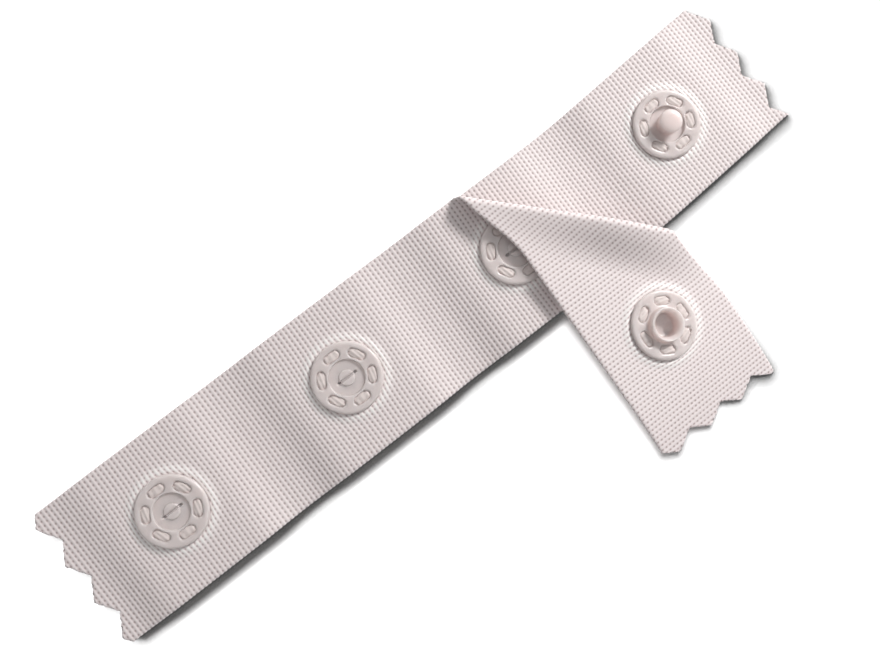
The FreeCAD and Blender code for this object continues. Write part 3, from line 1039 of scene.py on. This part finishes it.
@dataclass
class MouldedSnap:
    """One snap moulded through its tape, with a flange on each face and six oval slots."""

    name: str
    layout: Layout
    side: Body
    number: int
    front: Front
    seat: float = 0.235
    flange: float = 0.64
    rim_round: float = 0.32
    slot_lip: float = 0.15
    slot_zone: tuple[float, float] = (2.4, 3.66)
    face_ring: float = 3.85
    seat_ring: float = 3.9
    dish_radius: float = 2.2
    dish_depth: float = 0.3
    pip_radius: float = 0.95
    pip_height: float = 0.2
    slit_length: float = 2.8
    slit_width: float = 0.28
    slit_depth: float = 0.3
    step_start: float = 0.04
    step_ease: float = 0.12
    pip_start: float = 0.05
    slit_start: float = 0.05
    slit_ease: float = 0.1
    round_steps: int = 144
    rim_steps: int = 6
    slot_rings: int = 13
    slots: SlotRing = SlotRing()
    finish: MouldedFinish = field(default_factory=MouldedFinish)

    @property
    def outer(self) -> float:
        """Height of a flange's outer face from the middle of the cloth."""
        return self.seat + self.flange

    def rings(self) -> Array:
        """Radii of the rings that the slots are cut from."""
        return np.linspace(*self.slot_zone, self.slot_rings)

    def back_radii(self) -> Array:
        """Radii of the back's inner rings, close together where it steps.

        Returns:
            Radii from the axis out.
        """
        half = self.slit_length / 2.0
        inner = [0.0, 0.08, 0.16, 0.28, 0.42, 0.56, 0.7, 0.82, 0.88, 0.92, 0.96, 1.0, 1.04, 1.12, 1.22]
        outer = [half - 0.06, half, half + 0.08, 1.7, 1.9, 2.04, 2.1, 2.14, 2.18, 2.22, 2.26, 2.32]
        return np.array(inner + outer)

    def front_profile(self) -> list[tuple[float, float]]:
        """Half section of the front, from the slot rings in to the axis.

        A stud has a well and a post with a slight neck and a domed head. A socket has
        a ring with a rounded lip, a wide mouth that narrows to the bore, and a bowl.

        Returns:
            Radius and height above the middle of the cloth at each point.
        """
        top = self.outer
        if self.front is Front.STUD:
            well = [(2.36, top), (2.32, top - 0.02), (2.3, top - 0.07), (2.29, 0.56), (2.24, 0.46)]
            floor = [(2.14, 0.425), (1.42, 0.425), (1.3, 0.45), (1.255, 0.53)]
            neck = [(1.25, 0.7), (1.25, 1.68), (1.27, 1.77)]
            head = [(1.42, 1.96), (1.45, 2.02), (1.45, 2.18), (1.43, 2.25), (1.37, 2.33), (1.2, 2.42)]
            dome = [(0.98, 2.485), (0.7, 2.515), (0.35, 2.525), (0.0, 2.525)]
            return well + floor + neck + head + dome
        ring = [(2.3, top), (2.24, top + 0.015), (2.17, top + 0.08), (2.13, top + 0.18), (2.11, 1.74)]
        lip = [(2.09, 1.82), (2.05, 1.865), (2.0, 1.872), (1.94, 1.85)]
        mouth = [(1.6, 1.42), (1.54, 1.3), (1.525, 1.15), (1.525, 0.34)]
        bowl = [(1.51, 0.12), (1.45, -0.03), (1.33, -0.16), (1.16, -0.23), (0.95, -0.25), (0.4, -0.25)]
        return ring + lip + mouth + bowl + [(0.0, -0.25)]

    def profile(self) -> tuple[Array, Array, list[int]]:
        """Whole half section from the back's axis over the rim to the front's axis.

        The rim is a quarter circle, and the slotted zones are even rings.

        Returns:
            Radii, heights, and the first row of each of the four slotted zones: the
            back flange's face and underside, the front one's underside and face.
        """
        rings = self.rings()
        edge, hub = self.layout.flange_radius, self.layout.hub_radius
        turn = np.radians(np.linspace(0.0, 90.0, self.rim_steps))
        rim_in = edge - self.rim_round + self.rim_round * np.sin(turn)
        rim_up = self.outer - self.rim_round + self.rim_round * np.cos(turn)
        seat = np.full(self.slot_rings, self.seat)
        face = np.full(self.slot_rings, self.outer)
        back = self.back_radii()
        front = np.array(self.front_profile())
        parts = [
            (back, np.full(len(back), -self.outer)),
            (rings, -face),
            ([self.face_ring], [-self.outer]),
            (rim_in, -rim_up),
            ([edge, self.seat_ring], [-self.seat, -self.seat]),
            (rings[::-1], -seat),
            ([hub, hub], [-self.seat, self.seat]),
            (rings, seat),
            ([self.seat_ring, edge], [self.seat, self.seat]),
            (rim_in[::-1], rim_up[::-1]),
            ([self.face_ring], [self.outer]),
            (rings[::-1], face),
            (front[:, 0], front[:, 1]),
        ]
        radii = np.concatenate([part[0] for part in parts])
        heights = np.concatenate([part[1] for part in parts])
        starts = np.cumsum([0] + [len(part[0]) for part in parts])
        return radii, heights, [int(starts[number]) for number in (1, 5, 7, 11)]

    def back_relief(self, east: Array, north: Array) -> Array:
        """Depth of the back's dish, less its pip, plus the gate slit along the tape.

        Each is its full depth inside its radius or half size, and eases to nothing
        across a narrow step.

        Args:
            east, north: place on the moulding.

        Returns:
            Depth below the back flange's face.
        """
        distance = np.hypot(east, north)
        dish = self.dish_depth * smooth((self.dish_radius + self.step_start - distance) / self.step_ease)
        pip = self.pip_height * smooth((self.pip_radius + self.pip_start - distance) / self.step_ease)
        half_length, half_width = self.slit_length / 2.0, self.slit_width / 2.0
        long_share = smooth((half_length + self.step_start - np.abs(east)) / self.step_ease)
        wide_share = smooth((half_width + self.slit_start - np.abs(north)) / self.slit_ease)
        return dish - pip + self.slit_depth * long_share * wide_share

    def slotted_cells(self, east: Array, north: Array, zones: list[int]) -> Array:
        """Marks the cells of the four zones whose middles lie in a slot.

        Args:
            east, north: vertices of the turned section, a ring a row.
            zones: first row of each slotted zone.

        Returns:
            Which cells are cut out.
        """
        next_east, next_north = np.roll(east, -1, axis=1), np.roll(north, -1, axis=1)
        middle_east = (east[1:] + east[:-1] + next_east[1:] + next_east[:-1]) / 4.0
        middle_north = (north[1:] + north[:-1] + next_north[1:] + next_north[:-1]) / 4.0
        slotted = np.zeros(middle_east.shape, dtype=bool)
        for start in zones:
            here = slice(start, start + self.slot_rings - 1)
            slotted[here] = self.slots.reach(middle_east[here], middle_north[here])[0] < 0.0
        return slotted

    def build(self) -> bpy.types.Object:
        """Turns the half section round its axis, cuts the slots and walls them.

        Returns:
            The dressed piece.
        """
        radii, heights, zones = self.profile()
        turn = np.linspace(0.0, 2.0 * np.pi, self.round_steps, endpoint=False)
        east = radii[:, None] * np.cos(turn)
        north = radii[:, None] * np.sin(turn)
        up = np.repeat(heights[:, None], self.round_steps, axis=1)
        inner = len(self.back_radii())
        up[:inner] += self.back_relief(east[:inner], north[:inner])
        slotted = self.slotted_cells(east, north, zones)
        lip = touching_round(slotted) & touching_round(~slotted)
        _, lip_east, lip_north = self.slots.reach(east, north)
        east[lip], north[lip] = lip_east[lip], lip_north[lip]
        outer_rows = np.zeros((len(up), 1), dtype=bool)
        for start in (zones[0], zones[3]):
            outer_rows[start:start + self.slot_rings] = True
        up[lip & outer_rows] *= (self.outer - self.slot_lip) / self.outer
        steps = self.round_steps
        i, j = np.nonzero(~slotted)
        here, ahead = i * steps + j, i * steps + (j + 1) % steps
        faces = [np.stack([here, ahead, ahead + steps, here + steps], axis=-1)]
        for outside, inside in ((zones[0], zones[1]), (zones[3], zones[2])):
            cells = slotted[outside:outside + self.slot_rings - 1]
            faces.append(self.slot_walls(cells, outside, inside, steps))
        points = np.stack([east, north, up], axis=-1).reshape(-1, 3)
        centre, along, out = self.layout.snap_axes(self.side, self.number)
        turned = points @ np.stack([along, np.cross(out, along), out]) + centre
        used, numbered = only_used(np.concatenate(faces), len(points))
        points = self.layout.metres(turned)[used]
        made = put_mesh(self.name + "_moulding", points, numbered, {}, weld=1e-6)
        made.data.materials.append(bpy.data.materials.get(self.finish.name) or self.finish.material())
        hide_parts(self.name)
        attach(made, self.side.value)
        return made

    def slot_walls(self, here: Array, outside: int, inside: int, steps: int) -> Array:
        """Quads between a flange's outer face and its underside round every slot.

        Args:
            here: which cells of the outer zone are cut out.
            outside: first row of the outer face's zone.
            inside: first row of the underside's zone, whose rings run the other way.
            steps: vertices in one ring.

        Returns:
            Four vertex numbers a face.
        """
        last = self.slot_rings - 1
        kept = ~here
        quads = []
        ring, step = np.nonzero(kept[:-1] & here[1:])
        quads.append((ring + 1, (step + 1) % steps, ring + 1, step))
        ring, step = np.nonzero(kept[1:] & here[:-1])
        quads.append((ring + 1, step, ring + 1, (step + 1) % steps))
        ring, step = np.nonzero(kept & np.roll(here, -1, axis=1))
        quads.append((ring, (step + 1) % steps, ring + 1, (step + 1) % steps))
        ring, step = np.nonzero(kept & np.roll(here, 1, axis=1))
        quads.append((ring + 1, step, ring, step))
        walls = []
        for ring_a, step_a, ring_b, step_b in quads:
            near_a = (outside + ring_a) * steps + step_a
            near_b = (outside + ring_b) * steps + step_b
            deep_a = (inside + last - ring_a) * steps + step_a
            deep_b = (inside + last - ring_b) * steps + step_b
            walls.append(np.stack([near_b, near_a, deep_a, deep_b], axis=-1))
        return np.concatenate(walls)


@dataclass
class Studio:
    """Floor, lamps, world and the camera at the photograph's place."""

    layout: Layout
    row_way: tuple[float, float] = (0.79, 0.61)
    turn: tuple[float, float, float] = (-0.027, -0.07, 0.004)
    target: tuple[float, float] = (50.58, -2.31)
    distance: float = 103.4
    focal: float = 833.2
    image_width: float = 880.0
    sensor: float = 36.0
    sight: tuple[float, float] = (0.002, 20.0)
    key_from: tuple[float, float, float] = (340.0, 75.0, 224.0)
    key_size: float = 95.0
    key_watts: float = 1.52
    key_colour: tuple[float, float, float] = (1.0, 0.985, 0.975)
    fill: float = 0.12
    sun_distance: float = 500.0
    sky_sun: float = 0.68
    sky_blur: float = 120.0
    shade_sun: float = 3.9
    shade_way: tuple[float, float] = (-0.126, 0.98)
    shade_rise: float = 64.0
    shade_blur: float = 18.0
    floor_rings: tuple[float, float, float] = (0.0, 0.2, 1.5)
    floor_sectors: int = 64
    floor_gap: float = 0.00002
    finish: FloorFinish = field(default_factory=FloorFinish)

    def camera(self) -> bpy.types.Object:
        """Places the camera from the fitted rotation, target and distance.

        The picture's right and down follow the row of snaps, which climbs from the
        lower left, and the small fitted turn is applied to them.

        Returns:
            The camera.
        """
        level, climb = self.row_way
        size = math.hypot(level, climb)
        right = np.array([level, -climb, 0.0]) / size
        down = np.array([-climb, -level, 0.0]) / size
        look = np.stack([right, down, np.array([0.0, 0.0, -1.0])])
        angle = Vector(self.turn).length
        rotation = np.array(Matrix.Rotation(angle, 3, Vector(self.turn)))
        rows = rotation @ look
        place = np.array([self.target[0], self.target[1], 0.0]) - rows[2] * self.distance
        data = bpy.data.cameras.new("camera")
        data.sensor_width = self.sensor
        data.lens = self.sensor * self.focal / self.image_width
        data.clip_start, data.clip_end = self.sight
        made = bpy.data.objects.new("camera", data)
        matrix = np.eye(4)
        matrix[:3, 0], matrix[:3, 1], matrix[:3, 2] = rows[0], -rows[1], -rows[2]
        matrix[:3, 3] = self.layout.metres(place)
        made.matrix_world = Matrix(matrix.tolist())
        bpy.context.scene.collection.objects.link(made)
        bpy.context.scene.camera = made
        return made

    def floor(self) -> bpy.types.Object:
        """Lays a wide round white floor under the tapes.

        Returns:
            The floor.
        """
        turn = np.linspace(0.0, 2.0 * np.pi, self.floor_sectors + 1)
        reach = np.array(self.floor_rings)
        east = reach[:, None] * np.cos(turn)
        north = reach[:, None] * np.sin(turn)
        points = np.stack([east, north, np.full(east.shape, -self.floor_gap)], axis=-1).reshape(-1, 3)
        cells = np.ones((len(reach) - 1, self.floor_sectors), dtype=bool)
        faces = grid_faces(cells, 0, self.floor_sectors + 1)
        made = put_mesh("floor", points, faces, {}, weld=1e-6)
        made.data.materials.append(self.finish.material())
        return made

    def lamp(self, name: str, kind: str, place: Array, settings: dict[str, Any]) -> bpy.types.Object:
        """Adds one lamp aimed at the row frame's origin.

        Args:
            name: the lamp's name.
            kind: Blender's name of its type.
            place: where it is, in millimetres.
            settings: its properties.

        Returns:
            The lamp.
        """
        data = bpy.data.lights.new(name, kind)
        for key, value in settings.items():
            setattr(data, key, value)
        made = bpy.data.objects.new(name, data)
        aim = Vector(np.zeros(3) - place).to_track_quat("-Z", "Y").to_matrix().to_4x4()
        made.matrix_world = Matrix.Translation(Vector(place) * MM) @ aim
        bpy.context.scene.collection.objects.link(made)
        return made

    def only_for(self, lamp: bpy.types.Object, name: str, objects: list[bpy.types.Object]) -> None:
        """Lets a lamp light only some objects, which everything still shades.

        Args:
            lamp: the lamp.
            name: name of the collection that holds them.
            objects: what it lights.
        """
        group = bpy.data.collections.new(name)
        for item in objects:
            group.objects.link(item)
        lamp.light_linking.receiver_collection = group

    def lights(self, floor: bpy.types.Object, pieces: list[bpy.types.Object]) -> None:
        """One soft lamp from the far end, a wide sky on the pieces, and a sun on the floor.

        Args:
            floor: what only the last one lights.
            pieces: what the first two light.
        """
        key = self.lamp(
            "key",
            "AREA",
            np.array(self.key_from),
            {"energy": self.key_watts, "size": self.key_size * MM, "color": self.key_colour},
        )
        self.only_for(key, "key_receivers", pieces)
        sky = self.lamp(
            "sky",
            "SUN",
            np.array([0.0, 0.0, self.sun_distance]),
            {"energy": self.sky_sun, "angle": math.radians(self.sky_blur)},
        )
        self.only_for(sky, "sky_receivers", pieces)
        rise = math.radians(self.shade_rise)
        east, north = self.shade_way
        back = np.array([east * math.cos(rise), north * math.cos(rise), math.sin(rise)])
        shade = self.lamp(
            "shade",
            "SUN",
            back * self.sun_distance,
            {"energy": self.shade_sun, "angle": math.radians(self.shade_blur)},
        )
        self.only_for(shade, "shade_receivers", [floor])

    def world(self) -> None:
        """Even pale fill, and plain white where the camera or a gloss sees past the floor."""
        made = bpy.data.worlds.new("studio")
        made.use_nodes = True
        bpy.context.scene.world = made
        recipe = Recipe(made.node_tree)
        path = recipe.node("ShaderNodeLightPath", {}, {})
        seen = Wire(recipe, path.outputs["Is Camera Ray"])
        for label in ("Is Glossy Ray", "Is Transmission Ray"):
            seen = seen.math("MAXIMUM", Wire(recipe, path.outputs[label]))
        strength = seen * (1.0 - self.fill) + self.fill
        shader = recipe.node("ShaderNodeBackground", {}, {0: (1.0, 1.0, 1.0, 1.0), 1: strength})
        recipe.node("ShaderNodeOutputWorld", {}, {0: shader.outputs[0]})


def main() -> None:
    """Builds the tapes, the snaps and the studio."""
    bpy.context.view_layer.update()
    low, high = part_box("stud_1")
    centre = [(low[axis] + high[axis]) / 2.0 / MM for axis in range(2)]
    layout = Layout(shift=(centre[0] - Layout.pitch / 2.0, centre[1]))
    pieces: list[bpy.types.Object] = []
    tapes = [
        WovenTape(
            "stud_tape_weave", layout, layout.lower, end_tips=1.0, far_mirrored=False,
            body=Body.STUD_SIDE, held="laid", rests_on=["stud_1_moulding"],
        ),
        WovenTape(
            "socket_tape_weave", layout, layout.upper, end_tips=-1.9, far_mirrored=True,
            body=Body.SOCKET_SIDE, held="folded", rests_on=["stud_1_moulding", "socket_3_moulding"], seed=11,
        ),
    ]
    for side, front in ((Body.STUD_SIDE, Front.STUD), (Body.SOCKET_SIDE, Front.SOCKET)):
        for number in range(layout.snaps):
            snap = MouldedSnap(f"{front.value}_{number + 1}", layout, side, number, front)
            pieces.append(snap.build())
            log.info("%s: %d faces", pieces[-1].name, len(pieces[-1].data.polygons))
    for tape in tapes:
        pieces.append(tape.build())
        log.info("%s: %d faces", pieces[-1].name, len(pieces[-1].data.polygons))
    studio = Studio(layout)
    studio.camera()
    floor = studio.floor()
    studio.lights(floor, pieces)
    studio.world()
    bpy.context.scene.view_settings.view_transform = "Standard"
    log.info("boxes written")


if __name__ == "__main__":
    main()
